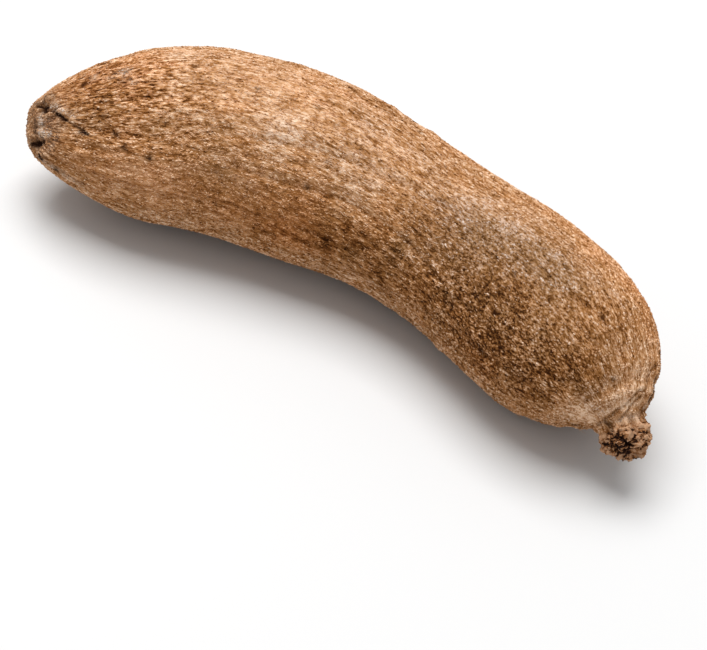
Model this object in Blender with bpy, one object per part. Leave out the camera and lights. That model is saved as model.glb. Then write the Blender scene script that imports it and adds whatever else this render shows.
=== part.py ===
"""A whole yam, lying on its side: one thick, bent tuber with a blunt scarred tail and a knobbly crown.

Metres, +Z up. The long way runs along X with the tail at -X, the hollow side of the bend faces -Y, and the
origin lies on the floor under the middle of the box. The tuber grew as one piece, so it is one solid.
"""

import math
import random

import bmesh
import bpy
import numpy as np
from mathutils import noise

MM = 0.001

# The line through the tuber's middle, from the tail to the crown's tip: along, back, height (mm).
SPINE = [
    (-178.9, -45.9, 43.5),
    (-134.9, -20.9, 46.0),
    (-86.9, 1.1, 48.8),
    (-44.9, 11.1, 48.4),
    (-4.9, 14.2, 47.0),
    (35.1, 10.6, 44.6),
    (75.1, 0.2, 44.0),
    (110.1, -15.0, 44.8),
    (141.1, -30.4, 42.5),
    (161.1, -42.4, 37.0),
    (171.1, -50.4, 31.8),
    (179.1, -56.9, 27.0),
]

# The tuber's outline as if it were straight: distance along the spine, half-width (mm).
PROFILE = [
    (0.0, 0.0),
    (0.7, 7.0),
    (3.0, 13.0),
    (8.5, 19.5),
    (19.0, 27.5),
    (35.0, 36.6),
    (56.0, 44.5),
    (84.0, 49.5),
    (118.0, 51.3),
    (156.0, 50.5),
    (196.0, 45.6),
    (241.0, 43.6),
    (286.0, 45.6),
    (321.0, 44.8),
    (345.0, 38.2),
    (360.0, 28.5),
    (368.5, 19.5),
    (373.5, 14.5),
    (377.5, 12.2),
    (382.5, 12.8),
    (388.0, 12.0),
    (392.5, 8.6),
    (395.0, 0.0),
]
LENGTH = PROFILE[-1][0]
NECK = 377.0
OUTLINE_STEPS = 1200

# The cross-section is a little wider than high, and lobed where stones and soil pressed on it.
# Each lobe has its number round the tuber, its size, its phase, and its twist in radians a millimetre.
FLATTEN = 0.03
LOBES = ((2, 0.022, 0.9, 0.004), (3, 0.014, 2.1, -0.009), (5, 0.008, 0.4, 0.013))

# Relief that runs with the grain: height, size across the grain, size along it (mm), and a seed.
LUMPS = (2.4, 62.0, 95.0, 3.1)
WRINKLES = (1.6, 11.0, 60.0, 11.7)
WRINKLE_MEAN = 0.25
CREASES = (0.9, 17.0, 120.0, 23.3)
CREASE_SHARPNESS = 0.12
GRAIN_RADIUS = 46.0
CALM_TAIL = 4.0
CALM_NECK = (6.0, 4.0)

# A place on the skin is a distance along the spine (mm) and a turn round it (radians: 0 at the back, then over
# the top to the front). The tail's scar is a shallow dish with a raised rim, and two pits lie in it.
SCAR_PLACE = (7.0, 2.45)
SCAR_RADIUS = 14.0
SCAR_DEPTH = 1.7
SCAR_EDGE = 1.4
RIM_HEIGHT = 1.2
RIM_WIDTH = 4.5
PITS = ((6.9, 1.85), (4.6, 3.18))
PIT_DEPTH = 3.0
PIT_RADIUS = 3.3

# Two cracks with raised lips: one runs off the scar along the side, one crosses the shoulder by the crown.
CRACKS = (((12.5, 2.10), (34.5, 2.60)), ((359.5, 0.52), (371.5, 0.62)))
CRACK_POINTS = 30
CRACK_BEND = 0.05
CRACK_WAVES = 3.4
CRACK_DEPTH = 1.5
CRACK_WIDTH = 1.7
LIP_HEIGHT = 0.6
LIP_OFFSET = 3.0

# Folds of skin that ring the neck below the crown, wandering a little as they go round.
FOLD_HEIGHT = 0.7
FOLD_PITCH = 8.5
FOLD_REACH = 36.0
FOLD_WANDER = ((1, 0.9, 0.6), (2, 0.5, 2.0))

# The crown's corky lumps.
KNOB_LUMP = 9.0
KNOB_HEIGHT = 3.2
KNOB_MEAN = 1.2
KNOB_BLEND = 2.0

# Root stubs: low warts, most of them towards the crown.
STUBS = 46
STUB_ROWS = (0.05, 0.91)
STUB_CROWDING = 0.7
STUB_HEIGHT = (0.5, 1.2)
STUB_RADIUS = (3.2, 4.8)
STUB_SEED = 7

# The mesh: quads round the tuber and rings along it, crowded by END_CROWDING near the two ends.
AROUND = 84
ALONG = 68
END_CROWDING = 2.0
END_LENGTHS = (26.0, 52.0)

# What the floor presses flat.
FLOOR_BITE = 1.1


def curve_through(stations, where):
    """Reads a smooth curve through rows of (distance, values...) at the given distances."""
    rows = np.array(stations, float)
    knots, values = rows[:, 0], rows[:, 1:]
    slopes = np.gradient(values, knots, axis=0)
    i = np.clip(np.searchsorted(knots, where, side="right") - 1, 0, len(knots) - 2)
    width = (knots[i + 1] - knots[i])[:, None]
    t = (where - knots[i])[:, None] / width
    start = (1 + 2 * t) * (1 - t) ** 2
    end = t * t * (3 - 2 * t)
    lean_in = t * (1 - t) ** 2 * width
    lean_out = t * t * (t - 1) * width
    return start * values[i] + end * values[i + 1] + lean_in * slopes[i] + lean_out * slopes[i + 1]


def by_length(points):
    """Puts the distance from the first point in front of each point."""
    points = np.array(points, float)
    steps = np.linalg.norm(np.diff(points, axis=0), axis=1)
    return np.column_stack([np.concatenate([[0], np.cumsum(steps)]), points])


def hump(offset, width):
    """1 at no offset, falling smoothly to 0 a few widths away."""
    return np.exp(-((offset / width) ** 2))


def step_up(offset, width):
    """0 well before no offset, 1 well after it."""
    return 1 / (1 + np.exp(-offset / width))


def spine_at(distance):
    """Point, sideways and upward vectors of the spine, in mm."""
    line = by_length(SPINE)
    along = distance * line[-1, 0] / LENGTH
    ahead = curve_through(line, along + 1) - curve_through(line, along - 1)
    ahead /= np.linalg.norm(ahead, axis=1)[:, None]
    side = np.cross((0, 0, 1), ahead)
    side /= np.linalg.norm(side, axis=1)[:, None]
    return curve_through(line, along), side, np.cross(ahead, side)


def outline_rows():
    """The outline's points with a row number from 0 to 1 for each, spread so that rings crowd at the ends."""
    outline = by_length(PROFILE)
    fine = np.linspace(0, outline[-1, 0], OUTLINE_STEPS)
    path = curve_through(outline, fine)
    at_ends = hump(path[:, 0], END_LENGTHS[0]) + hump(LENGTH - path[:, 0], END_LENGTHS[1])
    weight = 1 + END_CROWDING * at_ends
    count = np.concatenate([[0], np.cumsum((weight[1:] + weight[:-1]) / 2 * np.diff(fine))])
    return count / count[-1], path


def smooth_tuber(row, turn):
    """Points of the tuber without relief, in mm, and their distances along it."""
    rows, path = outline_rows()
    distance = np.interp(row, rows, path[:, 0])
    radius = np.maximum(np.interp(row, rows, path[:, 1]), 0)
    lobe = 1 + FLATTEN * np.cos(2 * turn)
    for count, size, phase, twist in LOBES:
        lobe += size * np.cos(count * turn + phase + twist * distance)
    point, side, up = spine_at(distance)
    across = (radius * lobe)[:, None]
    return point + across * (np.cos(turn)[:, None] * side + np.sin(turn)[:, None] * up), distance


def normals_of(row, turn):
    """Outward directions of the smooth tuber."""
    small = 1e-3
    inner = np.clip(row, 4 * small, 1 - 4 * small)
    along = smooth_tuber(inner + small, turn)[0] - smooth_tuber(inner - small, turn)[0]
    around = smooth_tuber(inner, turn + small)[0] - smooth_tuber(inner, turn - small)[0]
    normal = np.cross(around, along)
    return normal / np.linalg.norm(normal, axis=1)[:, None]


def places_at(distance, turn):
    """Points of the smooth tuber for distances along it and turns round it."""
    rows, path = outline_rows()
    return smooth_tuber(np.interp(distance, path[:, 0], rows), np.asarray(turn))[0]


def gap_to(shape, points):
    """Distance of each skin point to the nearest of a few given points."""
    gap = np.full(len(shape), np.inf)
    for point in points:
        gap = np.minimum(gap, np.linalg.norm(shape - point, axis=1))
    return gap


def grain_noise(distance, turn, across, along, seed):
    """Noise from -1 to 1 that is drawn out along the grain, which runs from the tail to the crown."""
    sideways = np.cos(turn) * GRAIN_RADIUS / across + seed
    upwards = np.sin(turn) * GRAIN_RADIUS / across - seed
    places = np.column_stack([distance / along, sideways, upwards])
    return np.array([noise.noise(place) for place in places.tolist()])


def grain(distance, turn):
    """Broad lumps, lengthwise wrinkles and a few sharp creases."""
    height = LUMPS[0] * grain_noise(distance, turn, *LUMPS[1:])
    height += WRINKLES[0] * (WRINKLE_MEAN - np.abs(grain_noise(distance, turn, *WRINKLES[1:])))
    height -= CREASES[0] * hump(grain_noise(distance, turn, *CREASES[1:]), CREASE_SHARPNESS)
    return height


def tail_scar(shape):
    """The dish, rim and pits at the tail."""
    gap = gap_to(shape, places_at([SCAR_PLACE[0]], [SCAR_PLACE[1]]))
    dish = SCAR_DEPTH * step_up(SCAR_RADIUS - gap, SCAR_EDGE)
    rim = RIM_HEIGHT * hump(gap - SCAR_RADIUS - RIM_WIDTH / 2, RIM_WIDTH)
    pits = gap_to(shape, places_at(*np.transpose(PITS)))
    return rim - dish - PIT_DEPTH * hump(pits, PIT_RADIUS)


def crack_course(start, end):
    """Points along a crack, which bends a little to and fro."""
    share = np.linspace(0, 1, CRACK_POINTS)
    distance = start[0] + share * (end[0] - start[0])
    turn = start[1] + share * (end[1] - start[1]) + CRACK_BEND * np.sin(CRACK_WAVES * share)
    return places_at(distance, turn)


def cracks(shape):
    """Narrow grooves between raised lips."""
    height = np.zeros(len(shape))
    for start, end in CRACKS:
        gap = gap_to(shape, crack_course(start, end))
        height += LIP_HEIGHT * hump(gap - LIP_OFFSET, CRACK_WIDTH) - CRACK_DEPTH * hump(gap, CRACK_WIDTH)
    return height


def crown_folds(distance, turn):
    """Rings of folded skin below the neck."""
    before = np.maximum(NECK - distance, 0)
    reach = np.minimum(before / FOLD_REACH, 1)
    phase = 2 * math.pi * before / FOLD_PITCH
    for count, size, start in FOLD_WANDER:
        phase = phase + size * np.sin(count * turn + start)
    return FOLD_HEIGHT * np.sin(math.pi * np.sqrt(reach)) * (1 - reach) * np.cos(phase)


def knob_roughness(shape, distance):
    """Corky lumps on the crown's knob."""
    rough = np.array([noise.turbulence(place, 3, False) for place in (shape / KNOB_LUMP).tolist()])
    return step_up(distance - NECK, KNOB_BLEND) * (KNOB_HEIGHT * rough - KNOB_MEAN)


def root_stubs(shape):
    """Low warts where roots grew, by a seeded draw that favours the crown end."""
    draw = random.Random(STUB_SEED)
    height = np.zeros(len(shape))
    for _ in range(STUBS):
        row = np.interp(draw.random() ** STUB_CROWDING, (0, 1), STUB_ROWS)
        turn = draw.uniform(0, 2 * math.pi)
        centre = smooth_tuber(np.array([row]), np.array([turn]))[0]
        height += draw.uniform(*STUB_HEIGHT) * hump(gap_to(shape, centre), draw.uniform(*STUB_RADIUS))
    return height


def relief(shape, distance, turn):
    """Height of the skin above the smooth tuber, in mm."""
    bark = (1 - hump(distance, CALM_TAIL)) * step_up(NECK - CALM_NECK[0] - distance, CALM_NECK[1])
    height = bark * (grain(distance, turn) + root_stubs(shape))
    return height + tail_scar(shape) + cracks(shape) + crown_folds(distance, turn) + knob_roughness(shape, distance)


def skin(row, turn):
    """Finished points of the tuber's skin, in mm, pressed flat where they meet the floor."""
    shape, distance = smooth_tuber(row, turn)
    points = shape + relief(shape, distance, turn)[:, None] * normals_of(row, turn)
    points[:, 2] = np.maximum(points[:, 2] - FLOOR_BITE, 0)
    return points


def clear_scene():
    for obj in list(bpy.data.objects):
        bpy.data.objects.remove(obj, do_unlink=True)


def skin_material():
    material = bpy.data.materials.new("yam_skin")
    material.use_nodes = True
    shader = material.node_tree.nodes["Principled BSDF"]
    shader.inputs["Base Color"].default_value = (0.30, 0.175, 0.095, 1)
    shader.inputs["Roughness"].default_value = 0.85
    shader.inputs["Metallic"].default_value = 0
    return material


def build_yam(collection):
    """A UV sphere whose rings are laid along the tuber, from the tail's pole to the crown's."""
    ball = bmesh.new()
    bmesh.ops.create_uvsphere(ball, u_segments=AROUND, v_segments=ALONG, radius=1)
    places = np.array([vertex.co for vertex in ball.verts])
    row = np.arccos(np.clip(-places[:, 2], -1, 1)) / math.pi
    turn = np.arctan2(places[:, 1], places[:, 0])
    for vertex, point in zip(ball.verts, skin(row, turn) * MM):
        vertex.co = point
    if ball.calc_volume(signed=True) < 0:
        bmesh.ops.reverse_faces(ball, faces=ball.faces)
    mesh = bpy.data.meshes.new("yam")
    ball.to_mesh(mesh)
    ball.free()
    mesh.shade_smooth()
    mesh.materials.append(skin_material())
    collection.objects.link(bpy.data.objects.new("yam", mesh))


def main():
    clear_scene()
    collection = bpy.data.collections.new("yam")
    bpy.context.scene.collection.children.link(collection)
    build_yam(collection)


main()
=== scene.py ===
"""Looks of the yam: its skin in fine relief, the fibres of its bark, root hairs, light and camera.

The tuber's form is the one of the solid, from the same formulas and values, in millimetres until a mesh is
written. A place on the skin is a row, from the tail to the crown's tip, or a distance along the spine, and a
turn round it (radians: 0 at the back, then over the top to the front). The bark's grain runs from the tail to
the crown.
"""

import math
import random

import bpy
import numpy as np
from mathutils import Matrix, noise


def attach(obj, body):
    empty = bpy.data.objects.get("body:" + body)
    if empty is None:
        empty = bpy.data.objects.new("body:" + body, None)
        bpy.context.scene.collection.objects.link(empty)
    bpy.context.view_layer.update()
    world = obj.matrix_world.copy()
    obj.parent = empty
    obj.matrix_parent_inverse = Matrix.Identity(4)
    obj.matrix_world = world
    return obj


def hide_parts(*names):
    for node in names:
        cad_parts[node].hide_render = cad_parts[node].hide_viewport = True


MM = 0.001

# The line through the tuber's middle, from the tail to the crown's tip: along, back, height (mm).
SPINE = [
    (-178.9, -45.9, 43.5),
    (-134.9, -20.9, 46.0),
    (-86.9, 1.1, 48.8),
    (-44.9, 11.1, 48.4),
    (-4.9, 14.2, 47.0),
    (35.1, 10.6, 44.6),
    (75.1, 0.2, 44.0),
    (110.1, -15.0, 44.8),
    (141.1, -30.4, 42.5),
    (161.1, -42.4, 37.0),
    (171.1, -50.4, 31.8),
    (179.1, -56.9, 27.0),
]

# The tuber's outline as if it were straight: distance along the spine, half-width (mm).
PROFILE = [
    (0.0, 0.0),
    (0.7, 7.0),
    (3.0, 13.0),
    (8.5, 19.5),
    (19.0, 27.5),
    (35.0, 36.6),
    (56.0, 44.5),
    (84.0, 49.5),
    (118.0, 51.3),
    (156.0, 50.5),
    (196.0, 45.6),
    (241.0, 43.6),
    (286.0, 45.6),
    (321.0, 44.8),
    (345.0, 38.2),
    (360.0, 28.5),
    (368.5, 19.5),
    (373.5, 14.5),
    (377.5, 12.2),
    (382.5, 12.8),
    (388.0, 12.0),
    (392.5, 8.6),
    (395.0, 0.0),
]
LENGTH = PROFILE[-1][0]
NECK = 377.0
OUTLINE_STEPS = 1200

# Departures from a round section: flatness, and lobes with their count, share of the radius, phase and twist.
FLATTEN = 0.03
LOBES = ((2, 0.022, 0.9, 0.004), (3, 0.014, 2.1, -0.009), (5, 0.008, 0.4, 0.013))

# The solid's relief: height, size across the grain, size along it (mm), and a seed.
LUMPS = (2.4, 62.0, 95.0, 3.1)
WRINKLES = (1.6, 11.0, 60.0, 11.7)
WRINKLE_MEAN = 0.25
CREASES = (0.9, 17.0, 120.0, 23.3)
CREASE_SHARPNESS = 0.12
CRAG_OCTAVES = 3

# The grain is read on a cylinder of this radius, and fades out at the tail's pole and before the neck (mm).
GRAIN_RADIUS = 46.0
CALM_TAIL = 4.0
CALM_NECK = (6.0, 4.0)

# The scarred tail: a dish with a rim and two pits. A place is a distance along the tuber (mm) and a turn.
SCAR_PLACE = (7.0, 2.45)
SCAR_RADIUS = 14.0
SCAR_DEPTH = 1.7
SCAR_EDGE = 1.4
RIM_HEIGHT = 1.2
RIM_WIDTH = 4.5
PITS = ((6.9, 1.85), (4.6, 3.18))
PIT_DEPTH = 3.0
PIT_RADIUS = 3.3

# Two cracks, each from one place to another, between raised lips.
CRACKS = (((12.5, 2.10), (34.5, 2.60)), ((359.5, 0.52), (371.5, 0.62)))
CRACK_POINTS = 60
CRACK_BEND = 0.05
CRACK_WAVES = 3.4
CRACK_DEPTH = 1.4
CRACK_WIDTH = 0.75
LIP_HEIGHT = 0.4
LIP_OFFSET = 1.7
LIP_WIDTH = 1.0

# Folded skin below the neck: height, pitch and reach (mm), and its waves round the tuber: count, size, phase.
FOLDS = (0.7, 8.5, 36.0)
FOLD_WANDER = ((1, 0.9, 0.6), (2, 0.5, 2.0))

# The craggy knob at the crown's tip.
KNOB_LUMP = 9.0
KNOB_HEIGHT = 3.2
KNOB_MEAN = 1.2
KNOB_BLEND = 2.0

# Warts where roots grew.
STUBS = 46
STUB_ROWS = (0.05, 0.91)
STUB_CROWDING = 0.7
STUB_HEIGHT = (0.5, 1.2)
STUB_RADIUS = (3.2, 4.8)
STUB_SEED = 7

# Rings crowd towards the tail and the crown over these lengths (mm).
END_CROWDING = 2.0
END_LENGTHS = (26.0, 52.0)

# How deep the floor presses the underside flat (mm).
FLOOR_BITE = 1.1

# Finer relief, which only this mesh is dense enough for: ridges, bark and folds in the same terms as above.
FINE_AROUND = 384
FINE_ALONG = 258
RIDGES = (0.55, 3.4, 17.0, 41.3)
RIDGE_MEAN = 0.22
BARK = (0.30, 2.2, 7.0, 57.9)
FINE_FOLDS = (0.30, 4.6, 22.0)

# Fine crags on the knob and in the scar: size, height (mm), and the noise's mean, which is taken off.
KNOB_CRAGS = (5.6, 3.1, 0.58)
SCAR_CRAGS = (4.0, 1.0, 0.15)

# The second pit is drawn out into a gash. Creases curl round the neck: turns and distances of points on them.
GASH = ((2.7, 3.36), (8.9, 2.93))
GASH_DEPTH = 1.2
GASH_WIDTH = 1.3
NECK_CREASES = (
    (
        (0.75, 361.0),
        (0.91, 363.4),
        (1.00, 366.9),
        (1.34, 369.4),
        (1.56, 371.7),
        (2.02, 374.0),
        (2.37, 375.3),
        (3.06, 375.8),
    ),
    ((1.21, 370.9), (1.44, 372.8), (1.73, 375.6), (2.06, 377.9)),
)
CREASE_DEPTH = 0.5
CREASE_WIDTH = 0.8

# Scales and fibres of the bark: slim closed lozenges that lie along the grain, half sunk in the skin.
# Each set has its number, its lengths, widths and heights (mm), its swing from the grain (radians), the
# distances along the tuber that it covers (mm), and a seed.
WHOLE = (0.0, 396.0)
BARK_SETS = {
    "bark_scales_broad": (33000, (1.6, 3.6), (0.75, 1.40), (0.20, 0.50), 0.26, WHOLE, 11),
    "bark_scales_small": (33000, (1.0, 2.4), (0.50, 1.00), (0.20, 0.55), 0.42, WHOLE, 12),
    "bark_flecks": (33000, (0.9, 2.4), (0.40, 0.75), (0.25, 0.60), 0.32, WHOLE, 14),
    "bark_fibres": (12000, (3.5, 7.0), (0.35, 0.65), (0.20, 0.45), 0.13, (0.0, 320.0), 13),
    "tail_crumbs": (500, (1.2, 2.8), (0.8, 1.5), (0.3, 0.8), 1.5, (0.0, 12.0), 15),
    "crown_crumbs": (200, (1.6, 3.2), (1.2, 2.2), (0.3, 0.6), 1.5, (379.0, 395.0), 16),
}

# How deep a scale's rim is sunk (mm), and how far its waist slips along it, as a share of its length.
SCALE_SINK = 0.12
SCALE_SLIP = 0.2

# A scale's points are its tail, head, left, right and top. Its faces above and below name them by number, and
# the corners place them in its cell of the bake layout, the top above and the base below.
SCALE_POINTS = 5
UPPER_FACES = ((0, 4, 2), (4, 1, 2), (0, 3, 4), (3, 1, 4))
LOWER_FACES = ((0, 2, 1), (0, 1, 3))
UPPER_CORNERS = ((0.05, 0.65), (0.95, 0.65), (0.5, 0.95), (0.5, 0.35), (0.5, 0.65))
LOWER_CORNERS = ((0.05, 0.17), (0.95, 0.17), (0.5, 0.30), (0.5, 0.04))

# How the bark changes towards the crown. A blend is where it starts along the tuber and how softly (mm).
# First it grows woolly: its pattern and scales are shorter and lie less in line.
WOOL_BLEND = (285.0, 18.0)
WOOL_GAIN = 1.4
WOOL_SHORTENING = 1.4
WOOL_TRIM = 0.35

# Then most scales lie in rings round the neck, and the knob beyond it is cork.
RING_BLEND = (363.0, 2.0)
RING_SHARE = 0.9
CORK_BLEND = (379.8, 0.7)

# Where the tuber is thinner than this, the bark's pattern and scales shrink with it; at the tail's pole the
# scales lie every way.
LEAST_RADIUS = 4.0
POLE_RADIUS = 14.0
POLE_REACH = 7.0
POLE_GAIN = 5.0

# How pale each scale is, from 0 to 1: a mean, a spread about it, and a few odd ones.
SHADE_MEAN = 0.5
SHADE_SPREAD = 0.15
ODD_SHADES = (-0.42, 0.0, 0.28)
ODD_SHARES = (0.15, 0.75, 0.10)

# Root hairs: thin curved threads, rooted just under the skin (mm). Swing and bend are spreads about straight,
# and the step in rows shows which way the grain runs.
HAIRS = 90
HAIR_SEED = 31
HAIR_LENGTH = (2.5, 7.5)
HAIR_RADIUS = 0.14
HAIR_TAPER = 0.8
HAIR_ROOT = 0.2
HAIR_LIFT = (0.05, 0.45)
HAIR_SWING = 0.5
HAIR_BEND = 0.5
HAIR_STEPS = 6
HAIR_SIDES = 4
GRAIN_STEP = 0.004

# Small pits in the bark, with painted shade in them: many by a seeded draw, and a few at set places.
SPECKS = 120
SPECK_RADIUS = (0.9, 1.9)
SPECK_DEPTH = 0.5
SPECK_SEED = 21
NICKS = ((50.2, 2.54), (56.1, 2.67), (8.6, 1.97), (8.4, 3.38), (17.0, 3.45), (70.0, 2.75))
NICK_RADIUS = 1.9

# Patches of the bark, some of them painted light and shade: distance, turn, reach along and round (mm),
# brightness, warmth.
PATCHES_AND_PAINTED_LIGHT = (
    (118.0, 1.85, 52.0, 26.0, 0.30, 0.05),
    (110.0, 1.35, 60.0, 16.0, 0.30, 0.00),
    (118.0, 2.45, 60.0, 26.0, 0.32, 0.00),
    (60.0, 1.75, 34.0, 20.0, -0.38, 0.35),
    (40.0, 1.35, 30.0, 14.0, 0.15, 0.50),
    (60.0, 2.90, 40.0, 18.0, 0.35, 0.45),
    (185.0, 2.20, 50.0, 24.0, 0.36, 0.00),
    (295.0, 2.45, 60.0, 22.0, -0.50, -0.80),
    # Partly painted shade: darker along the lower front.
    (320.0, 3.00, 60.0, 20.0, -0.75, 0.15),
    (320.0, 0.75, 40.0, 20.0, 0.10, 0.70),
    # Painted light: these two rows lighten the neck, which lies in the shoulder's shadow.
    (374.0, 1.80, 9.0, 34.0, 1.25, 0.10),
    (370.0, 3.00, 12.0, 18.0, 1.50, 0.10),
    # Partly painted shadow on the knob's lower side, partly its darker cork.
    (388.5, 2.50, 6.0, 36.0, -1.90, 0.00),
    (272.0, 2.00, 24.0, 12.0, 0.05, -1.00),
    (306.0, 1.82, 26.0, 14.0, 0.00, -1.10),
    # Partly painted shade: darker along the lower front.
    (215.0, 3.00, 60.0, 16.0, -0.45, 0.00),
    (150.0, 3.15, 50.0, 14.0, -0.20, 0.80),
    (240.0, 1.90, 40.0, 16.0, 0.25, -0.20),
    (41.0, 2.30, 14.0, 6.0, -0.35, 0.00),
    (136.0, 2.62, 16.0, 9.0, -0.15, 0.10),
    (199.0, 2.83, 2.8, 5.0, -1.00, 0.00),
    (189.0, 3.10, 5.0, 8.0, -0.80, -0.40),
    (206.0, 3.09, 7.0, 6.0, -0.60, -0.50),
    (235.0, 2.70, 5.0, 7.0, -0.40, -0.60),
    (77.0, 1.41, 9.0, 5.0, 0.50, -0.40),
    (142.0, 2.22, 16.0, 8.0, 0.30, -0.40),
    (172.0, 2.65, 16.0, 14.0, -0.20, 0.40),
    (335.0, 1.40, 35.0, 30.0, -0.15, -0.20),
    (45.0, 1.90, 30.0, 20.0, -0.20, 0.20),
    (66.0, 1.78, 18.0, 14.0, 0.60, 0.00),
    (92.0, 2.55, 24.0, 12.0, -0.38, 0.00),
    (44.0, 2.68, 16.0, 12.0, -0.35, 0.00),
    (168.0, 1.90, 24.0, 12.0, 0.15, 0.00),
    (116.0, 1.90, 16.0, 16.0, 0.12, 0.00),
    (270.0, 1.60, 20.0, 20.0, 0.18, -0.10),
    (321.0, 1.20, 14.0, 14.0, 0.28, 0.00),
    (362.0, 1.15, 9.0, 20.0, 0.50, 0.00),
    (198.0, 2.70, 8.0, 14.0, 0.50, 0.00),
    (358.0, 2.45, 10.0, 14.0, -0.50, 0.00),
    (157.0, 2.46, 10.0, 9.0, -0.40, 0.00),
    (14.0, 2.80, 8.0, 10.0, -0.70, 0.00),
    (254.0, 2.22, 12.0, 10.0, -0.35, 0.00),
    (107.0, 2.95, 20.0, 10.0, -0.30, 0.00),
    (25.0, 1.85, 10.0, 10.0, 0.35, 0.00),
    (29.0, 2.58, 9.0, 9.0, 0.40, 0.00),
    (3.5, 2.30, 3.5, 40.0, -0.30, 0.00),
)

# Where the mottling is stronger or weaker: distance, turn, reach along and round (mm), how much.
GRITS = (
    (55.0, 1.90, 40.0, 34.0, 0.90),
    (120.0, 1.50, 30.0, 24.0, -0.35),
    (315.0, 2.95, 50.0, 26.0, 0.70),
    (345.0, 1.50, 40.0, 40.0, 0.20),
    (60.0, 3.00, 50.0, 18.0, -0.50),
    (150.0, 3.00, 50.0, 16.0, -0.50),
    (8.0, 2.60, 11.0, 30.0, 0.80),
    (338.0, 2.60, 20.0, 14.0, 0.35),
)

# Grey callus: on the scar's rim (strength, distance outside it, width), in its dish (strength, share of its
# radius), in streaks from one place to another (width, strength), and on scuffed spots (width, strength).
CALLUS_RIM = (0.2, 1.0, 2.0)
CALLUS_DISH = (0.3, 0.8)
CALLUS_STREAKS = (
    ((5.3, 2.11), (6.8, 2.62), 2.0, 0.60),
    ((6.6, 2.74), (12.0, 2.68), 1.5, 0.95),
    ((13.1, 2.03), (26.5, 2.34), 1.5, 0.60),
    ((8.1, 3.40), (30.5, 3.44), 1.8, 0.50),
    ((366.0, 0.68), (374.0, 0.68), 1.4, 0.60),
    ((377.2, 0.90), (378.2, 2.20), 1.4, 0.50),
)
SCUFFS = (
    ((7.2, 2.02), 0.9, 0.60),
    ((35.0, 1.66), 2.2, 0.60),
    ((43.4, 1.75), 1.8, 0.50),
    ((51.1, 1.69), 3.4, 0.75),
    ((56.9, 1.89), 2.4, 0.50),
    ((76.8, 1.41), 4.0, 0.35),
    ((167.7, 1.94), 1.0, 0.90),
)

# Painted shade in hollows: the scar's pits are darker over a share of their radius, and these say how dark
# the small pits and the creases are painted.
DARK_PIT_SHARE = 0.7
DARK_SPECKS = 0.8
DARK_CREASES = 0.35

# A crack's painted shade comes and goes along it (mean, swing, waves, phase), and covers a share of its
# width: the least, and how much more where it is darkest.
CRACK_FADE = (0.50, 0.40, 10.0, -0.9)
CRACK_SHARE = (0.6, 0.6)

# Dark streaks, in the same terms as those of callus: most run along the pits and cracks and are painted
# shade, the rest are marks of the scar and bark.
DARK_STREAKS = (
    ((4.7, 1.70), (11.2, 1.99), 1.0, 0.90),
    ((7.6, 1.92), (9.6, 2.01), 1.8, 2.50),
    ((15.5, 2.21), (22.0, 2.38), 1.1, 1.20),
    ((29.6, 2.54), (32.6, 2.58), 0.9, 1.10),
    ((7.4, 3.34), (9.7, 3.41), 0.8, 1.20),
    ((360.0, 0.49), (371.5, 0.57), 1.4, 0.75),
    ((2.6, 2.20), (3.4, 2.75), 1.0, 0.50),
    ((8.0, 2.34), (8.6, 2.62), 0.7, 0.25),
    ((11.6, 2.66), (15.0, 2.80), 0.8, 0.40),
)

# The scar's brightness beside the bark's.
SCAR_TONE = -0.4

# Colours of the bark and of the crown's cork by brightness, and the colours and tints laid over them.
BARK_COLOURS = (
    (0.00, (0.032, 0.009, 0.002)),
    (0.22, (0.116, 0.038, 0.007)),
    (0.45, (0.270, 0.113, 0.032)),
    (0.65, (0.440, 0.226, 0.102)),
    (0.82, (0.610, 0.370, 0.215)),
    (1.00, (0.790, 0.570, 0.400)),
)
CALLUS_COLOUR = (0.580, 0.410, 0.280, 1)
PALE_CALLUS = (0.840, 0.820, 0.820, 1)
# The colour of the painted shade in pits, cracks and creases, and of the dark streaks.
DARK_MARK_AND_SHADE_COLOUR = (0.026, 0.009, 0.004, 1)
CROWN_COLOURS = (
    (0.30, (0.014, 0.005, 0.003)),
    (0.48, (0.085, 0.030, 0.010)),
    (0.66, (0.310, 0.135, 0.050)),
    (0.90, (0.470, 0.275, 0.160)),
)
GREY_TINT = (0.84, 0.98, 1.25, 1)
WARM_TINT = (1.15, 0.97, 0.80, 1)

# Patterns of the bark: how often each repeats in a millimetre, along the grain and across it, with its detail
# and roughness.
STREAKS = ((0.26, 0.95, 0.95), 2.0, 0.65)
BANDS = ((0.11, 0.38, 0.38), 2.0, 0.5)
MOTTLE = ((0.045, 0.07, 0.07), 3.0, 0.6)
HUES = ((0.03, 0.05, 0.05), 3.0, 0.6)
CORK = ((0.28, 0.085, 0.085), 2.0, 0.6)
FLAKES = ((0.9, 0.9, 0.9), 2.0, 0.6)

# What adds to the bark's brightness, each with its weight and mean, from a start for the skin or the fibres.
STREAKS_ADD = (1.35, 0.5)
BANDS_ADD = (0.48, 0.5)
GRIT_ADDS = (1.0, 0.0)
MOTTLE_ADDS = (0.30, 0.5)
# The tone holds the patches, partly painted light and shade, and brings them to the bark and the cork.
TONE_AND_PAINTED_LIGHT_ADDS = (0.30, 0.0)
# Painted shade: the bark is darker where the fine relief lies low and paler where it stands high.
RELIEF_SHADE_ADDS = (0.42, 0.0)
SHADE_ADDS = (0.70, SHADE_MEAN)
SKIN_START = 0.52
FIBRE_START = 0.68

# The same for the bark's warmth and for the cork's brightness.
WARMTH_ADDS = (0.8, 0.0)
HUES_ADD = (1.4, 0.5)
BARK_ADDS_TO_CORK = (0.25, 0.25)
CORK_ADDS = (3.4, 0.5)
TONE_AND_PAINTED_LIGHT_ADDS_TO_CORK = (0.2, -0.6)
# Painted shade: the cork is darker in its crevices.
RELIEF_SHADE_ADDS_TO_CORK = (0.22, -0.6)
CORK_START = 0.59

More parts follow.
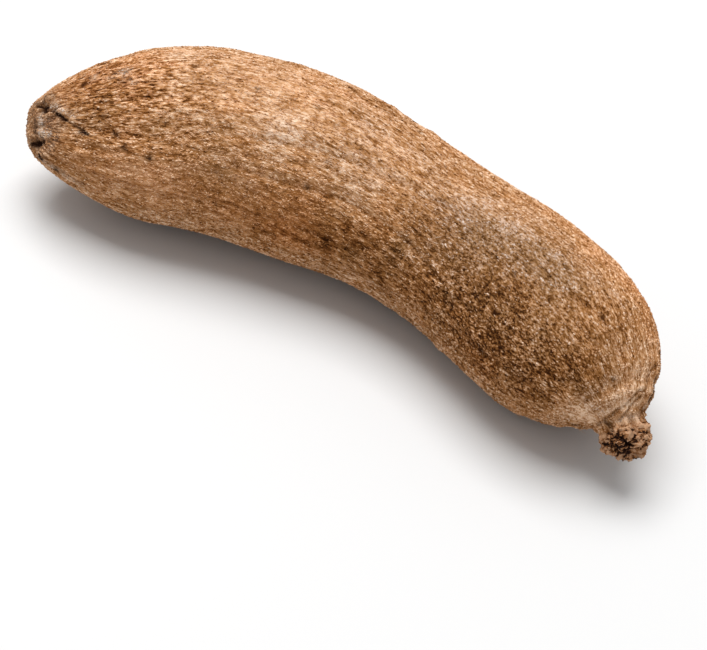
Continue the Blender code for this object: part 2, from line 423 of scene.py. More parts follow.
# The same for how flakes break up the callus and the dark places, and from where on the flakes are pale.
FLAKES_IN_CALLUS = (5.0, 0.5)
CALLUS_START = 0.8
FLAKES_IN_DARK = (1.5, 0.5)
DARK_START = 1.1
PALE_FROM = 0.55
PALE_GAIN = 10.0

# The bark is dull: its roughness with the weight and mean of the streaks in it, its gloss, its bump (mm).
SKIN_ROUGHNESS = 0.86
SKIN_STREAKS = (-0.5, 0.5)
FIBRE_ROUGHNESS = 0.80
FIBRE_STREAKS = (-0.4, 0.5)
GLOSS = 0.06
BUMP_STRENGTH = 0.9
BUMP_DEPTH = 0.35

# The picture is 707 by 650 pixels. With this lens and view the tuber's outline falls on the photographed one.
PICTURE = (707, 650)
LENS = 85.0
SENSOR = 36.0
AZIMUTH = 21.4
ELEVATION = 42.0
ROLL = 11.17
DISTANCE = 0.8606
AIM = (0.0, 0.0, 0.045)
AIM_PIXEL = (365.8, 215.1)
NEAREST = 0.01

# A broad lamp above, a white surround and a pale floor (m, W).
LAMP_PLACE = (-0.6, 0.35, 2.6)
LAMP_TARGET = (0.0, 0.0, 0.0)
LAMP_SIZE = 2.0
LAMP_POWER = 90.0
SURROUND = 0.55
FLOOR_SIZE = 8.0
FLOOR_COLOUR = (0.66, 0.66, 0.66, 1)
FLOOR_ROUGHNESS = 0.9


def curve_through(stations, where):
    """Reads a smooth curve through rows of (distance, values...) at the given distances."""
    rows = np.array(stations, float)
    knots, values = rows[:, 0], rows[:, 1:]
    slopes = np.gradient(values, knots, axis=0)
    i = np.clip(np.searchsorted(knots, where, side="right") - 1, 0, len(knots) - 2)
    width = (knots[i + 1] - knots[i])[:, None]
    t = (where - knots[i])[:, None] / width
    start = (1 + 2 * t) * (1 - t) ** 2
    end = t * t * (3 - 2 * t)
    lean_in = t * (1 - t) ** 2 * width
    lean_out = t * t * (t - 1) * width
    return start * values[i] + end * values[i + 1] + lean_in * slopes[i] + lean_out * slopes[i + 1]


def by_length(points):
    """Puts the distance from the first point in front of each point."""
    points = np.array(points, float)
    steps = np.linalg.norm(np.diff(points, axis=0), axis=1)
    return np.column_stack([np.concatenate([[0], np.cumsum(steps)]), points])


def unit(vectors):
    """A vector or rows of them, each made one long."""
    return vectors / np.maximum(np.linalg.norm(vectors, axis=-1, keepdims=True), 1e-9)


def hump(offset, width):
    """1 at no offset, falling smoothly to 0 a few widths away."""
    return np.exp(-((offset / width) ** 2))


def step_up(offset, width):
    """0 well before no offset, 1 well after it."""
    return 1 / (1 + np.exp(-offset / width))


def spine_at(distance):
    """Point, sideways and upward vectors of the spine, in mm."""
    line = by_length(SPINE)
    along = distance * line[-1, 0] / LENGTH
    ahead = unit(curve_through(line, along + 1) - curve_through(line, along - 1))
    side = unit(np.cross((0, 0, 1), ahead))
    return curve_through(line, along), side, np.cross(ahead, side)


def outline_rows():
    """The outline's points with a row number from 0 to 1 for each, spread so that rings crowd at the ends."""
    outline = by_length(PROFILE)
    fine = np.linspace(0, outline[-1, 0], OUTLINE_STEPS)
    path = curve_through(outline, fine)
    at_ends = hump(path[:, 0], END_LENGTHS[0]) + hump(LENGTH - path[:, 0], END_LENGTHS[1])
    weight = 1 + END_CROWDING * at_ends
    count = np.concatenate([[0], np.cumsum((weight[1:] + weight[:-1]) / 2 * np.diff(fine))])
    return count / count[-1], path, fine


ROWS, PATH, PATH_LENGTH = outline_rows()


def smooth_tuber(row, turn):
    """Points of the tuber without relief, in mm, and their distances along it."""
    distance = np.interp(row, ROWS, PATH[:, 0])
    radius = np.maximum(np.interp(row, ROWS, PATH[:, 1]), 0)
    lobe = 1 + FLATTEN * np.cos(2 * turn)
    for count, size, phase, twist in LOBES:
        lobe += size * np.cos(count * turn + phase + twist * distance)
    point, side, up = spine_at(distance)
    across = (radius * lobe)[:, None]
    return point + across * (np.cos(turn)[:, None] * side + np.sin(turn)[:, None] * up), distance


def normals_of(row, turn):
    """Outward directions of the smooth tuber."""
    small = 1e-3
    inner = np.clip(row, 4 * small, 1 - 4 * small)
    along = smooth_tuber(inner + small, turn)[0] - smooth_tuber(inner - small, turn)[0]
    around = smooth_tuber(inner, turn + small)[0] - smooth_tuber(inner, turn - small)[0]
    return unit(np.cross(around, along))


def places_at(distance, turn):
    """Points of the smooth tuber for distances along it and turns round it."""
    return smooth_tuber(np.interp(distance, PATH[:, 0], ROWS), np.asarray(turn))[0]


def spots_at(places):
    """Points of the smooth tuber for rows of a distance and a turn."""
    return places_at(*np.transpose(places))


def gap_to(shape, points):
    """Distance of each skin point to the nearest of a few given points."""
    gap = np.full(len(shape), np.inf)
    for point in points:
        gap = np.minimum(gap, np.linalg.norm(shape - point, axis=1))
    return gap


def scar_gap(shape):
    """Distance of each skin point to the middle of the scar."""
    return gap_to(shape, spots_at([SCAR_PLACE]))


def noise_at(places):
    """Noise from -1 to 1 at each place."""
    return np.array([noise.noise(place) for place in places.tolist()])


def crags_at(places, rounded=False):
    """Craggy noise about 0 at each place, or rounded lumps between sharp creases, from 0 up."""
    return np.array([noise.turbulence(place, CRAG_OCTAVES, rounded) for place in places.tolist()])


def grain_noise(distance, turn, across, along, seed):
    """Noise from -1 to 1 that is drawn out along the grain."""
    sideways = np.cos(turn) * GRAIN_RADIUS / across + seed
    upwards = np.sin(turn) * GRAIN_RADIUS / across - seed
    return noise_at(np.column_stack([distance / along, sideways, upwards]))


def grain(distance, turn):
    """Broad lumps, lengthwise wrinkles and a few sharp creases."""
    height = LUMPS[0] * grain_noise(distance, turn, *LUMPS[1:])
    height += WRINKLES[0] * (WRINKLE_MEAN - np.abs(grain_noise(distance, turn, *WRINKLES[1:])))
    height -= CREASES[0] * hump(grain_noise(distance, turn, *CREASES[1:]), CREASE_SHARPNESS)
    return height


def tail_scar(shape):
    """The dish, rim and pits at the tail."""
    gap = scar_gap(shape)
    dish = SCAR_DEPTH * step_up(SCAR_RADIUS - gap, SCAR_EDGE)
    rim = RIM_HEIGHT * hump(gap - SCAR_RADIUS - RIM_WIDTH / 2, RIM_WIDTH)
    pits = gap_to(shape, spots_at(PITS))
    return rim - dish - PIT_DEPTH * hump(pits, PIT_RADIUS)


def crack_course(start, end):
    """Points along a crack, which bends a little to and fro."""
    share = np.linspace(0, 1, CRACK_POINTS)
    distance = start[0] + share * (end[0] - start[0])
    turn = start[1] + share * (end[1] - start[1]) + CRACK_BEND * np.sin(CRACK_WAVES * share)
    return places_at(distance, turn)


def cracks(shape):
    """Narrow grooves between raised lips."""
    height = np.zeros(len(shape))
    for start, end in CRACKS:
        gap = gap_to(shape, crack_course(start, end))
        height += LIP_HEIGHT * hump(gap - LIP_OFFSET, LIP_WIDTH) - CRACK_DEPTH * hump(gap, CRACK_WIDTH)
    return height


def straight_course(start, end):
    """Points along the straight way over the skin from one place to another."""
    return places_at(*np.linspace(start, end, CRACK_POINTS).T)


def gash(shape):
    """How deep a place lies in the gash, from 0 to 1."""
    return hump(gap_to(shape, straight_course(*GASH)), GASH_WIDTH)


def neck_creases(shape):
    """How deep a place lies in the creases round the neck, from 0 to 1."""
    deep = np.zeros(len(shape))
    for course in NECK_CREASES:
        turn = np.linspace(course[0][0], course[-1][0], CRACK_POINTS)
        points = places_at(curve_through(course, turn)[:, 0], turn)
        deep = np.maximum(deep, hump(gap_to(shape, points), CREASE_WIDTH))
    return deep


def speck_places():
    """Centre, depth from 0 to 1 and radius of each small dark pit."""
    draw = np.random.default_rng(SPECK_SEED)
    centres = smooth_tuber(draw.random(SPECKS), draw.uniform(0, 2 * math.pi, SPECKS))[0]
    places = list(zip(centres, draw.random(SPECKS), draw.uniform(*SPECK_RADIUS, SPECKS)))
    return places + [(centre, 1.0, NICK_RADIUS) for centre in spots_at(NICKS)]


SPECK_PLACES = speck_places()


def specks(shape):
    """How deep a place lies in one of the small dark pits, from 0 to 1."""
    deep = np.zeros(len(shape))
    for centre, depth, radius in SPECK_PLACES:
        deep = np.maximum(deep, depth * hump(np.linalg.norm(shape - centre, axis=1), radius))
    return deep


def neck_folds(distance, turn, height, pitch, length):
    """Rings of folded skin below the neck."""
    before = np.maximum(NECK - distance, 0)
    reach = np.minimum(before / length, 1)
    phase = 2 * math.pi * before / pitch
    for count, size, start in FOLD_WANDER:
        phase = phase + size * np.sin(count * turn + start)
    return height * np.sin(math.pi * np.sqrt(reach)) * (1 - reach) * np.cos(phase)


def on_knob(distance):
    """1 on the crown's knob, 0 on the rest."""
    return step_up(distance - NECK, KNOB_BLEND)


def root_stubs(shape):
    """Low warts where roots grew, by a seeded draw that favours the crown end."""
    draw = random.Random(STUB_SEED)
    height = np.zeros(len(shape))
    for _ in range(STUBS):
        row = np.interp(draw.random() ** STUB_CROWDING, (0, 1), STUB_ROWS)
        turn = draw.uniform(0, 2 * math.pi)
        centre = smooth_tuber(np.array([row]), np.array([turn]))[0]
        height += draw.uniform(*STUB_HEIGHT) * hump(gap_to(shape, centre), draw.uniform(*STUB_RADIUS))
    return height


def bark_share(distance):
    """1 where the tuber has bark with a grain, 0 at the tail's pole and on the knob."""
    return (1 - hump(distance, CALM_TAIL)) * step_up(NECK - CALM_NECK[0] - distance, CALM_NECK[1])


def relief(shape, distance, turn):
    """Height of the solid's skin above the smooth tuber, in mm."""
    height = bark_share(distance) * (grain(distance, turn) + root_stubs(shape))
    knob = on_knob(distance) * (KNOB_HEIGHT * crags_at(shape / KNOB_LUMP) - KNOB_MEAN)
    folds = neck_folds(distance, turn, *FOLDS)
    return height + tail_scar(shape) + cracks(shape) + folds + knob


def fine_relief(shape, distance, turn):
    """Height of the fine ridges and crags above the solid's skin, in mm."""
    ridges = RIDGES[0] * (RIDGE_MEAN - np.abs(grain_noise(distance, turn, *RIDGES[1:])))
    bark = BARK[0] * grain_noise(distance, turn, *BARK[1:])
    scar = hump(scar_gap(shape), SCAR_RADIUS)
    height = bark_share(distance) * (1 - scar) * (ridges + bark - SPECK_DEPTH * specks(shape))
    size, strength, mean = KNOB_CRAGS
    height += on_knob(distance) * strength * (crags_at(shape / size, rounded=True) - mean)
    size, strength, mean = SCAR_CRAGS
    height += scar * strength * (crags_at(shape / size) - mean)
    height -= GASH_DEPTH * gash(shape) + CREASE_DEPTH * neck_creases(shape)
    return height + neck_folds(distance, turn, *FINE_FOLDS)


def skin(row, turn):
    """Points of the fine skin in mm, pressed flat on the floor, and the fine relief's height there."""
    shape, distance = smooth_tuber(row, turn)
    fine = fine_relief(shape, distance, turn)
    height = relief(shape, distance, turn) + fine
    points = shape + height[:, None] * normals_of(row, turn)
    points[:, 2] = np.maximum(points[:, 2] - FLOOR_BITE, 0)
    return points, fine


def patch_share(distance, turn, patch):
    """How much of a patch lies at a place: 1 in its middle, 0 outside."""
    at, round_it, reach, breadth = patch
    swing = (turn - round_it + math.pi) % (2 * math.pi) - math.pi
    return hump(distance - at, reach) * hump(swing * GRAIN_RADIUS, breadth)


def callus_at(shape):
    """How much grey callus covers a place, from 0 to 1."""
    gap = scar_gap(shape)
    strength, offset, width = CALLUS_RIM
    callus = strength * hump(gap - SCAR_RADIUS - offset, width)
    strength, share = CALLUS_DISH
    callus += strength * hump(gap, SCAR_RADIUS * share)
    for start, end, width, strength in CALLUS_STREAKS:
        callus += strength * hump(gap_to(shape, straight_course(start, end)), width)
    for place, width, strength in SCUFFS:
        callus += strength * hump(gap_to(shape, spots_at([place])), width)
    return np.clip(callus, 0, 1)


def darkness_at(shape):
    """How dark a place is painted, from 0 to 1: painted shade in the pits, gash, creases and cracks, and dark
    streaks.
    """
    pits = gap_to(shape, spots_at(PITS))
    dark = hump(pits, PIT_RADIUS * DARK_PIT_SHARE) + gash(shape)
    dark += DARK_SPECKS * specks(shape) + DARK_CREASES * neck_creases(shape)
    mean, swing, waves, phase = CRACK_FADE
    fade = mean + swing * np.sin(waves * np.linspace(0, 1, CRACK_POINTS) + phase)
    least, more = CRACK_SHARE
    for start, end in CRACKS:
        for point, strength in zip(crack_course(start, end), fade):
            gap = np.linalg.norm(shape - point, axis=1)
            dark = np.maximum(dark, strength * hump(gap, CRACK_WIDTH * (least + more * strength)))
    for start, end, width, strength in DARK_STREAKS:
        dark = np.maximum(dark, strength * hump(gap_to(shape, straight_course(start, end)), width))
    return np.clip(dark, 0, 1)


def grain_radius(row):
    """Radius of the cylinder that the bark's pattern is read on: less at the two poles."""
    return GRAIN_RADIUS * np.clip(np.interp(row, ROWS, PATH[:, 1]) / POLE_RADIUS, 0, 1)


def looks_at(row, turn):
    """What the materials read at a place: where it is in the grain, and how much of each look it has; the
    tone and the dark carry painted light and shade.
    """
    shape, distance = smooth_tuber(row, turn)
    past = (distance - WOOL_BLEND[0]) / WOOL_BLEND[1]
    shortened = distance + WOOL_SHORTENING * WOOL_BLEND[1] * np.log1p(np.exp(past))
    tone = SCAR_TONE * hump(scar_gap(shape), SCAR_RADIUS)
    warmth = np.zeros(len(row))
    for *patch, bright, warm in PATCHES_AND_PAINTED_LIGHT:
        share = patch_share(distance, turn, patch)
        tone += bright * share
        warmth += warm * share
    reading = grain_radius(row)
    return {
        "grain": np.column_stack([shortened, np.cos(turn) * reading, np.sin(turn) * reading]),
        "tone": tone,
        "warmth": warmth,
        "grit": 1 + sum(more * patch_share(distance, turn, patch) for *patch, more in GRITS),
        "callus": callus_at(shape),
        "dark": darkness_at(shape),
        "crown": step_up(distance - CORK_BLEND[0], CORK_BLEND[1]),
    }


def repeated_looks(row, turn, times):
    """What the materials read at scales or hairs of so many points: one reading for all points of each."""
    return {key: np.repeat(values, times, axis=0) for key, values in looks_at(row, turn).items()}


def write_looks(mesh, looks):
    """Stores each value as an attribute of the mesh's points."""
    for name, values in looks.items():
        wide = values.ndim == 2
        attribute = mesh.attributes.new(name, "FLOAT_VECTOR" if wide else "FLOAT", "POINT")
        attribute.data.foreach_set("vector" if wide else "value", values.ravel())


def add_piece(name, mesh, material):
    """Adds a piece of the yam that takes the place of its plain solid."""
    mesh.materials.append(material)
    piece = bpy.data.objects.new(name, mesh)
    bpy.context.scene.collection.objects.link(piece)
    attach(piece, "root")
    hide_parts("yam")
    return piece


def new_mesh(name, points, faces, corners):
    """A mesh from points in mm, with the bake layout's place for each corner of each face."""
    mesh = bpy.data.meshes.new(name)
    mesh.from_pydata((points * MM).tolist(), [], faces)
    layout = mesh.uv_layers.new(name="OFBake")
    layout.data.foreach_set("uv", corners.astype(np.float32).ravel())
    return mesh


def make_skin(material):
    """The skin: rings from the tail's pole to the crown's, closed at both ends."""
    rows = np.arange(1, FINE_ALONG) / FINE_ALONG
    turns = np.arange(FINE_AROUND) / FINE_AROUND * 2 * math.pi
    row, turn = (grid.ravel() for grid in np.meshgrid(rows, turns, indexing="ij"))
    row = np.concatenate([row, [0.0, 1.0]])
    turn = np.concatenate([turn, [0.0, 0.0]])
    points, fine = skin(row, turn)
    tail, tip = len(row) - 2, len(row) - 1
    faces = []
    corners = []
    for ring in range(FINE_ALONG):
        for step in range(FINE_AROUND):
            after = (step + 1) % FINE_AROUND
            low, high = (ring - 1) * FINE_AROUND, ring * FINE_AROUND
            if ring == 0:
                faces.append((tail, step, after))
                corners += [(0, step + 0.5), (1, step), (1, step + 1)]
            elif ring == FINE_ALONG - 1:
                faces.append((low + step, tip, low + after))
                corners += [(ring, step), (ring + 1, step + 0.5), (ring, step + 1)]
            else:
                faces.append((low + step, high + step, high + after, low + after))
                corners += [(ring, step), (ring + 1, step), (ring + 1, step + 1), (ring, step + 1)]
    mesh = new_mesh("yam_skin", points, faces, np.array(corners, float) / (FINE_ALONG, FINE_AROUND))
    looks = looks_at(row, turn)
    looks["height"] = fine
    write_looks(mesh, looks)
    mesh.shade_smooth()
    return add_piece("yam_skin", mesh, material)


def spread_over_skin(count, span, draw):
    """Draws places evenly over the skin between two distances, as lengths along the outline and turns."""
    area = np.cumsum(np.maximum(PATH[:, 1], 0))
    first, last = np.interp(span, PATH[:, 0], area)
    return np.interp(draw.uniform(first, last, count), area, PATH_LENGTH), draw.uniform(0, 2 * math.pi, count)


def scale_layout(count):
    """A bake layout with a cell for each scale."""
    across = math.ceil(math.sqrt(count))
    cell = np.arange(count)
    corner = np.column_stack([cell % across, cell // across])
    upper = [UPPER_CORNERS[point] for face in UPPER_FACES for point in face]
    lower = [LOWER_CORNERS[point] for face in LOWER_FACES for point in face]
    return (corner[:, None, :] + np.array(upper + lower)) / across


def lie_of_scales(distance, radius, lengths, swings, draw):
    """Draws the length of each scale and how far it swings from the grain."""
    count = len(distance)
    length = draw.uniform(*lengths, count) * np.minimum(radius / POLE_RADIUS, 1.0)
    near_neck = RING_SHARE * step_up(distance - RING_BLEND[0], RING_BLEND[1])
    woolly = step_up(distance - WOOL_BLEND[0], WOOL_BLEND[1]) * (1 - near_neck)
    length *= 1 - WOOL_TRIM * woolly
    swing = draw.normal(0, swings, count) * (1 + WOOL_GAIN * woolly + POLE_GAIN * hump(distance, POLE_REACH))
    return length, swing + math.pi / 2 * (draw.random(count) < near_neck)


def scale_looks(row, turn, ahead_by, round_by, draw):
    """What the materials read at the scales' points, which lie so far ahead and round (mm, radians).

    Each scale has a shade of its own.
    """
    looks = repeated_looks(row, turn, SCALE_POINTS)
    around = np.repeat(turn, SCALE_POINTS)
    across = (round_by * grain_radius(row)[:, None]).ravel()
    looks["grain"][:, 0] += ahead_by.ravel()
    looks["grain"][:, 1] -= across * np.sin(around)
    looks["grain"][:, 2] += across * np.cos(around)
    count = len(row)
    shade = draw.normal(SHADE_MEAN, SHADE_SPREAD, count) + draw.choice(ODD_SHADES, count, p=ODD_SHARES)
    looks["shade"] = np.repeat(np.clip(shade, 0, 1), SCALE_POINTS)
    return looks


def make_scales(name, count, lengths, widths, lifts, swings, span, seed, material):
    """Slim closed scales along the grain, or round the tuber near the neck, each with its own shade."""
    draw = np.random.default_rng(seed)
    along, turn = spread_over_skin(count, span, draw)
    row = np.interp(along, PATH_LENGTH, ROWS)
    radius = np.maximum(np.interp(along, PATH_LENGTH, PATH[:, 1]), LEAST_RADIUS)
    distance = np.interp(row, ROWS, PATH[:, 0])
    length, swing = lie_of_scales(distance, radius, lengths, swings, draw)
    reach = length / 2 * np.cos(swing)
    sideways = length / 2 * np.sin(swing) / radius
    ends = []
    for way in (-1, 1):
        end_row = np.interp(along + way * reach, PATH_LENGTH, ROWS)
        ends.append(skin(end_row, turn + way * sideways)[0])
    middle, fine = skin(row, turn)
    outward = normals_of(row, turn)
    ahead = unit(ends[1] - ends[0])
    side = unit(np.cross(outward, ahead))
    outward = np.cross(ahead, side)
    half = side * draw.uniform(*widths, count)[:, None] / 2
    lift = outward * draw.uniform(*lifts, count)[:, None]
    sunk = outward * SCALE_SINK
    waist = middle + ahead * (length * draw.uniform(-SCALE_SLIP, SCALE_SLIP, count))[:, None]
    corners = [ends[0] - sunk, ends[1] - sunk, waist + half - sunk, waist - half - sunk, waist + lift]
    points = np.stack(corners, axis=1).reshape(-1, 3)
    points[:, 2] = np.maximum(points[:, 2], 0)
    faces = np.arange(count)[:, None, None] * SCALE_POINTS + np.array(UPPER_FACES + LOWER_FACES)
    mesh = new_mesh(name, points, faces.reshape(-1, 3).tolist(), scale_layout(count))
    slip = np.einsum("ij,ij->i", waist - middle, ahead)
    half_turn = np.linalg.norm(half, axis=1) / radius
    ahead_by = np.stack([-reach, reach, slip, slip, slip], axis=1)
    round_by = np.stack([-sideways, sideways, -half_turn, half_turn, 0 * radius], axis=1)
    looks = scale_looks(row, turn, ahead_by, round_by, draw)
    looks["height"] = np.repeat(fine, SCALE_POINTS)
    write_looks(mesh, looks)
    return add_piece(name, mesh, material)


class Shading:
    """A material's node tree with short names for the nodes used here."""

    def __init__(self, name):
        self.material = bpy.data.materials.new(name)
        self.material.use_nodes = True
        self.tree = self.material.node_tree
        self.shader = self.tree.nodes["Principled BSDF"]

    def put(self, value, socket):
        """Sets a socket to a value, or links another node's socket to it."""
        if isinstance(value, bpy.types.NodeSocket):
            self.tree.links.new(value, socket)
        else:
            socket.default_value = value

    def attribute(self, name, output="Fac"):
        """What the mesh holds under a name."""
        node = self.tree.nodes.new("ShaderNodeAttribute")
        node.attribute_name = name
        return node.outputs[output]

    def math(self, operation, a, b, clamp=False):
        """One operation on two values, kept between 0 and 1 if it is clamped."""
        node = self.tree.nodes.new("ShaderNodeMath")
        node.operation = operation
        node.use_clamp = clamp
        self.put(a, node.inputs[0])
        self.put(b, node.inputs[1])
        return node.outputs[0]

    def pattern(self, place, scale, detail, roughness):
        """Noise from 0 to 1 at a place, with a scale of its own along each direction."""
        stretch = self.tree.nodes.new("ShaderNodeVectorMath")
        stretch.operation = "MULTIPLY"
        self.put(place, stretch.inputs[0])
        stretch.inputs[1].default_value = scale
        node = self.tree.nodes.new("ShaderNodeTexNoise")
        self.put(stretch.outputs[0], node.inputs["Vector"])
        node.inputs["Scale"].default_value = 1.0
        node.inputs["Detail"].default_value = detail
        node.inputs["Roughness"].default_value = roughness
        return node.outputs["Fac"]

    def weigh(self, terms, start=0.0):
        """A start value plus each socket times its weight, counted from the socket's mean."""
        total = start
        for socket, weight, mean in terms:
            swing = self.math("MULTIPLY", self.math("SUBTRACT", socket, mean), weight)
            total = self.math("ADD", swing, total)
        return total

    def ramp(self, factor, stops):
        """The colour at a factor, between stops that have a place and a colour each."""
        node = self.tree.nodes.new("ShaderNodeValToRGB")
        self.put(factor, node.inputs["Fac"])
        band = node.color_ramp
        while len(band.elements) < len(stops):
            band.elements.new(0.5)
        for element, (place, colour) in zip(band.elements, stops):
            element.position = place
            element.color = (*colour, 1)
        return node.outputs["Color"]

    def mix(self, factor, first, second, way="MIX"):
        """The first colour where the factor is 0, the second where it is 1."""
        node = self.tree.nodes.new("ShaderNodeMix")
        node.data_type = "RGBA"
        node.blend_type = way
        self.put(factor, node.inputs["Factor"])
        colours = [socket for socket in node.inputs if socket.type == "RGBA"]
        self.put(first, colours[0])
        self.put(second, colours[1])
        return next(socket for socket in node.outputs if socket.type == "RGBA")

    def tinted(self, factor, colour, tint):
        """The colour, multiplied by a tint where the factor is 1."""
        return self.mix(factor, colour, self.mix(1.0, colour, tint, "MULTIPLY"))


def coloured_bark(look, brightness, grain_place):
    """Colour for a brightness from 0 to 1, with patches, callus, painted shade in pits and cracks, dark
    streaks and the dark crown.
    """
    colour = look.ramp(brightness, BARK_COLOURS)
    hues = look.pattern(grain_place, *HUES)
    warmth = look.weigh(((look.attribute("warmth"), *WARMTH_ADDS), (hues, *HUES_ADD)))
    colour = look.tinted(look.math("MULTIPLY", warmth, -1.0, clamp=True), colour, GREY_TINT)
    colour = look.tinted(look.math("MULTIPLY", warmth, 1.0, clamp=True), colour, WARM_TINT)
    cork_terms = (
        (brightness, *BARK_ADDS_TO_CORK),
        (look.pattern(grain_place, *CORK), *CORK_ADDS),
        (look.attribute("tone"), *TONE_AND_PAINTED_LIGHT_ADDS_TO_CORK),
        # Painted shade in the cork's crevices.
        (look.attribute("height"), *RELIEF_SHADE_ADDS_TO_CORK),
    )
    crown = look.ramp(look.weigh(cork_terms, CORK_START), CROWN_COLOURS)
    colour = look.mix(look.attribute("crown"), colour, crown)
    flakes = look.pattern(grain_place, *FLAKES)
    callus = look.attribute("callus")
    flaking = look.math("MULTIPLY", look.math("SUBTRACT", flakes, PALE_FROM), PALE_GAIN, clamp=True)
    callus_colour = look.mix(look.math("MULTIPLY", flaking, callus), CALLUS_COLOUR, PALE_CALLUS)
    breaks = look.weigh(((flakes, *FLAKES_IN_CALLUS),), CALLUS_START)
    colour = look.mix(look.math("MULTIPLY", callus, breaks, clamp=True), colour, callus_colour)
    # Painted shade in the pits, cracks and creases, with the dark streaks, broken up by the flakes.
    breaks = look.weigh(((flakes, *FLAKES_IN_DARK),), DARK_START)
    dark = look.math("MULTIPLY", look.attribute("dark"), breaks, clamp=True)
    return look.mix(dark, colour, DARK_MARK_AND_SHADE_COLOUR)


def bark_brightness(look, place, start, more):
    """Brightness of the bark: streaks, bands and mottle along the grain, broad patches partly painted light,
    and painted shade in hollows.
    """
    streaks = look.pattern(place, *STREAKS)
    gritty = look.weigh(((streaks, *STREAKS_ADD), (look.pattern(place, *BANDS), *BANDS_ADD)))
    terms = (
        (look.math("MULTIPLY", gritty, look.attribute("grit")), *GRIT_ADDS),
        (look.pattern(place, *MOTTLE), *MOTTLE_ADDS),
        (look.attribute("tone"), *TONE_AND_PAINTED_LIGHT_ADDS),
        # Painted shade in the fine relief's hollows.
        (look.attribute("height"), *RELIEF_SHADE_ADDS),
    )
    return look.weigh(terms + more, start), streaks


def dull_bark(look, start, more, roughness, streaks_in_roughness):
    """Fills in the shader of a bark material, and gives its streaks."""
    place = look.attribute("grain", "Vector")
    brightness, streaks = bark_brightness(look, place, start, more)
    look.put(coloured_bark(look, brightness, place), look.shader.inputs["Base Color"])
    dullness = look.weigh(((streaks, *streaks_in_roughness),), roughness)
    look.put(dullness, look.shader.inputs["Roughness"])
    look.shader.inputs["Specular IOR Level"].default_value = GLOSS
    return streaks


def skin_material():
    """The bark between the scales, mottled and dull."""
    look = Shading("yam_bark")
    streaks = dull_bark(look, SKIN_START, (), SKIN_ROUGHNESS, SKIN_STREAKS)
    bump = look.tree.nodes.new("ShaderNodeBump")
    bump.inputs["Strength"].default_value = BUMP_STRENGTH
    bump.inputs["Distance"].default_value = BUMP_DEPTH * MM
    look.put(streaks, bump.inputs["Height"])
    look.put(bump.outputs["Normal"], look.shader.inputs["Normal"])
    return look.material


def scale_material():
    """The bark's scales and fibres: each with its own shade, paler on the whole than the bark below."""
    look = Shading("yam_fibre")
    shade = (look.attribute("shade"), *SHADE_ADDS)
    dull_bark(look, FIBRE_START, (shade,), FIBRE_ROUGHNESS, FIBRE_STREAKS)
    return look.material


def hair_points(root, out, lead, draw):
    """Rings of points round a hair that leaves its root along the grain or against it, tapers and bends."""
    length = draw.uniform(*HAIR_LENGTH)
    way = draw.choice((-1, 1))
    heading = unit(lead * way + np.cross(out, lead) * draw.normal(0, HAIR_SWING))
    lift = draw.uniform(*HAIR_LIFT)
    bend = draw.normal(0, HAIR_BEND)
    side = np.cross(out, heading)
    points = []
    for t in np.arange(HAIR_STEPS) / (HAIR_STEPS - 1):
        rise = lift * length * t - HAIR_ROOT
        centre = root + heading * length * t + side * bend * length * t * t / 2 + out * rise
        radius = HAIR_RADIUS * (1 - HAIR_TAPER * t)
        for angle in 2 * math.pi * np.arange(HAIR_SIDES) / HAIR_SIDES:
            points.append(centre + radius * (math.cos(angle) * side + math.sin(angle) * out))
    return points


def hair_faces(first):
    """Faces of the hair whose points start at a number: its sides, its root and its tip."""
    faces = []
    for step in range(HAIR_STEPS - 1):
        for corner in range(HAIR_SIDES):
            low = first + step * HAIR_SIDES
            after = (corner + 1) % HAIR_SIDES
            faces.append((low + corner, low + after, low + HAIR_SIDES + after, low + HAIR_SIDES + corner))
    last = first + (HAIR_STEPS - 1) * HAIR_SIDES
    faces.append(tuple(first + corner for corner in reversed(range(HAIR_SIDES))))
    faces.append(tuple(last + corner for corner in range(HAIR_SIDES)))
    return faces


def make_hairs(material):
    """Thin curved root hairs, each a closed tapering thread."""
    draw = np.random.default_rng(HAIR_SEED)
    along, turn = spread_over_skin(HAIRS, WHOLE, draw)
    row = np.interp(along, PATH_LENGTH, ROWS)
    base = skin(row, turn)[0]
    ahead = unit(skin(np.minimum(row + GRAIN_STEP, 1.0), turn)[0] - base)
    points = []
    faces = []
    for root, out, lead in zip(base, normals_of(row, turn), ahead):
        faces += hair_faces(len(points))
        points += hair_points(root, out, lead, draw)
    points = np.array(points)
    points[:, 2] = np.maximum(points[:, 2], 0)
    mesh = bpy.data.meshes.new("root_hairs")
    mesh.from_pydata((points * MM).tolist(), [], faces)
    each = HAIR_STEPS * HAIR_SIDES
    looks = repeated_looks(row, turn, each)
    looks["shade"] = np.repeat(draw.random(HAIRS), each)
    looks["height"] = np.zeros(HAIRS * each)
    write_looks(mesh, looks)
    return add_piece("root_hairs", mesh, material)


def pose_matrix(right, up, back, place):
    """The matrix that stands an object at a place with its axes along three directions."""
    return Matrix(np.column_stack([right, up, back, place]).tolist() + [[0, 0, 0, 1]])


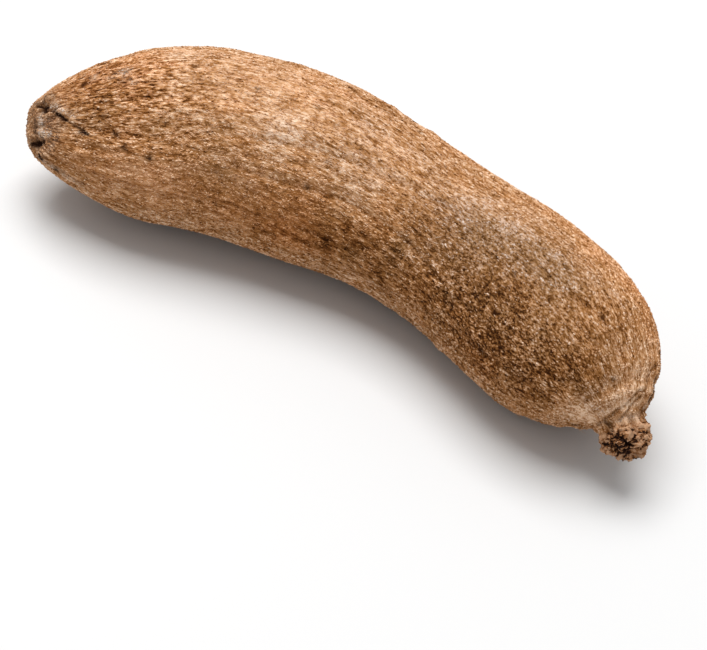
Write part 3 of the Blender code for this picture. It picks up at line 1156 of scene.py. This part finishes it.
def add_camera():
    """The photograph's view: the aim falls on its pixel, and the roll tilts the picture."""
    azimuth, elevation, roll = (math.radians(angle) for angle in (AZIMUTH, ELEVATION, ROLL))
    level = np.array([math.cos(azimuth), math.sin(azimuth), 0.0])
    ahead = np.array([-math.sin(azimuth), math.cos(azimuth), 0.0])
    forward = ahead * math.cos(elevation) - np.array([0.0, 0.0, math.sin(elevation)])
    above = np.cross(level, forward)
    right = math.cos(roll) * level + math.sin(roll) * above
    up = math.cos(roll) * above - math.sin(roll) * level
    pixel = SENSOR / LENS / PICTURE[0] * DISTANCE
    shift_right = (AIM_PIXEL[0] - PICTURE[0] / 2) * pixel
    shift_down = (AIM_PIXEL[1] - PICTURE[1] / 2) * pixel
    place = np.array(AIM) - forward * DISTANCE - right * shift_right + up * shift_down
    data = bpy.data.cameras.new("camera")
    data.lens = LENS
    data.sensor_width = SENSOR
    data.clip_start = NEAREST
    camera = bpy.data.objects.new("camera", data)
    camera.matrix_world = pose_matrix(right, up, -forward, place)
    bpy.context.scene.collection.objects.link(camera)
    bpy.context.scene.camera = camera


def add_floor():
    """A plain pale floor."""
    bpy.ops.mesh.primitive_plane_add(size=FLOOR_SIZE, location=(0, 0, 0))
    floor = bpy.context.object
    floor.name = "floor"
    look = Shading("floor_white")
    look.shader.inputs["Base Color"].default_value = FLOOR_COLOUR
    look.shader.inputs["Roughness"].default_value = FLOOR_ROUGHNESS
    look.shader.inputs["Specular IOR Level"].default_value = 0.0
    floor.data.materials.append(look.material)


def add_lamp(name, place, target, size, power):
    """A square soft light that faces its target."""
    data = bpy.data.lights.new(name, "AREA")
    data.size = size
    data.energy = power
    lamp = bpy.data.objects.new(name, data)
    away = unit(np.subtract(place, target))
    side = unit(np.cross((0, 1, 0), away))
    lamp.matrix_world = pose_matrix(side, np.cross(away, side), away, place)
    bpy.context.scene.collection.objects.link(lamp)


def add_light():
    """A broad soft light from above and an even white surround."""
    add_lamp("key", LAMP_PLACE, LAMP_TARGET, LAMP_SIZE, LAMP_POWER)
    world = bpy.data.worlds.new("surround")
    world.use_nodes = True
    background = world.node_tree.nodes["Background"]
    background.inputs["Color"].default_value = (1, 1, 1, 1)
    background.inputs["Strength"].default_value = SURROUND
    bpy.context.scene.world = world
    bpy.context.scene.view_settings.view_transform = "Standard"


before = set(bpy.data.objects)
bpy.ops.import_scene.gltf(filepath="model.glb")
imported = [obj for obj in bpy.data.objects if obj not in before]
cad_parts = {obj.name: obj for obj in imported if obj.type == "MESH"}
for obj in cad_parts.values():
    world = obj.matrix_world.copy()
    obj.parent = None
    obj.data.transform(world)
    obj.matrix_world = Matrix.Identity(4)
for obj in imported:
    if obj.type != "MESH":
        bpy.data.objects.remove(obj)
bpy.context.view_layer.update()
make_skin(skin_material())
fibres = scale_material()
for set_name, values in BARK_SETS.items():
    make_scales(set_name, *values, fibres)
make_hairs(fibres)
add_camera()
add_floor()
add_light()
